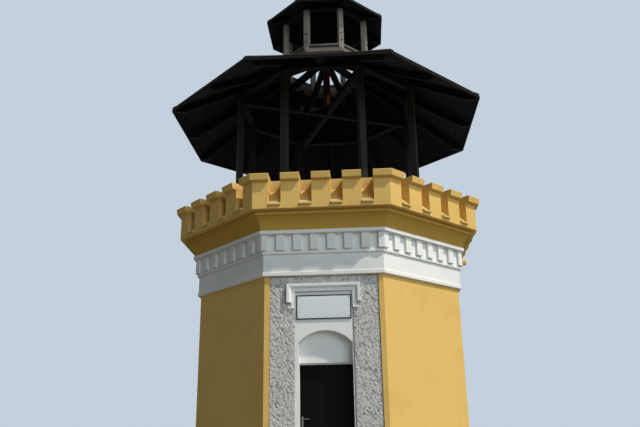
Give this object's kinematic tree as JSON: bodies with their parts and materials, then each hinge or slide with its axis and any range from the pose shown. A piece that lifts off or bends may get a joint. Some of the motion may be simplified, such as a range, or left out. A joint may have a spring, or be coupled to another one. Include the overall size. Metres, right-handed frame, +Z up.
{
  "type": "observation tower",
  "caption": "Octagonal masonry lookout tower with battlements, an open timber roof frame, a small roof lantern and an arched doorway with a hinged door.",
  "frame": {"origin": "on the tower's axis, on the underside of the ground slab", "axes": "+Z up, the face with the door looks along -Y, +X to the right of it"},
  "size_m": [6.434, 6.434, 11.0812],
  "materials": {
    "ochre_plaster": "matt painted plaster",
    "white_plaster": "matt painted plaster",
    "grey_roughcast": "coarse roughcast",
    "concrete": "floated concrete",
    "dark_timber": "dark stain",
    "grey_timber": "weathered",
    "brown_timber": "red-brown stain",
    "roof_covering": "dark shingles",
    "dark_metal": "satin",
    "door_paint": "satin paint",
    "bright_metal": "satin",
    "white_enamel": "satin"
  },
  "bodies": {
    "tower": {"apex_cap": "dark_metal", "back_left_wall": "ochre_plaster", "back_right_wall": "ochre_plaster", "back_wall": "ochre_plaster", "band_course": "white_plaster", "cap_course": "white_plaster", "common_rafters": "dark_timber", "copings": "ochre_plaster", "corner_merlons": "ochre_plaster", "cove_course": "ochre_plaster", "crenel_sills": "ochre_plaster", "dentils": "white_plaster", "door_frame": "door_paint", "door_head_strip": "white_plaster", "door_surround": "white_plaster", "eave_fascia": "dark_timber", "frame_hinges": "dark_metal", "front_left_wall": "ochre_plaster", "front_right_wall": "ochre_plaster", "front_wall_left_of_door": "ochre_plaster", "front_wall_over_door": "white_plaster", "front_wall_right_of_door": "ochre_plaster", "ground_slab": "concrete", "hip_rafters": "dark_timber", "hood_mould": "white_plaster", "king_post": "brown_timber", "lantern_beams": "dark_timber", "lantern_boarding": "dark_timber", "lantern_covering": "roof_covering", "lantern_curb": "grey_timber", "lantern_fascia": "dark_timber", "lantern_panels": "grey_timber", "lantern_posts": "grey_timber", "lantern_rafters": "dark_timber", "left_wall": "ochre_plaster", "main_posts": "grey_timber", "merlons": "ochre_plaster", "parapet_wall": "ochre_plaster", "platform_floor": "concrete", "post_beams": "dark_timber", "rain_spout": "ochre_plaster", "right_wall": "ochre_plaster", "roof_boarding": "dark_timber", "roof_covering": "roof_covering", "roughcast_coats": "grey_roughcast", "sign_plate": "white_enamel", "threshold": "concrete", "tie_beams": "dark_timber"},
    "door": {"door_leaf": "door_paint", "door_handles": "bright_metal", "leaf_hinges": "dark_metal"}
  },
  "joints": [
    {"name": "door_hinge", "type": "hinge", "parent": "tower", "child": "door", "pos_m": [0.4532, -2.1435, 1.1], "axis": [0, 0, -1], "range_deg": [0, 95]}
  ]
}
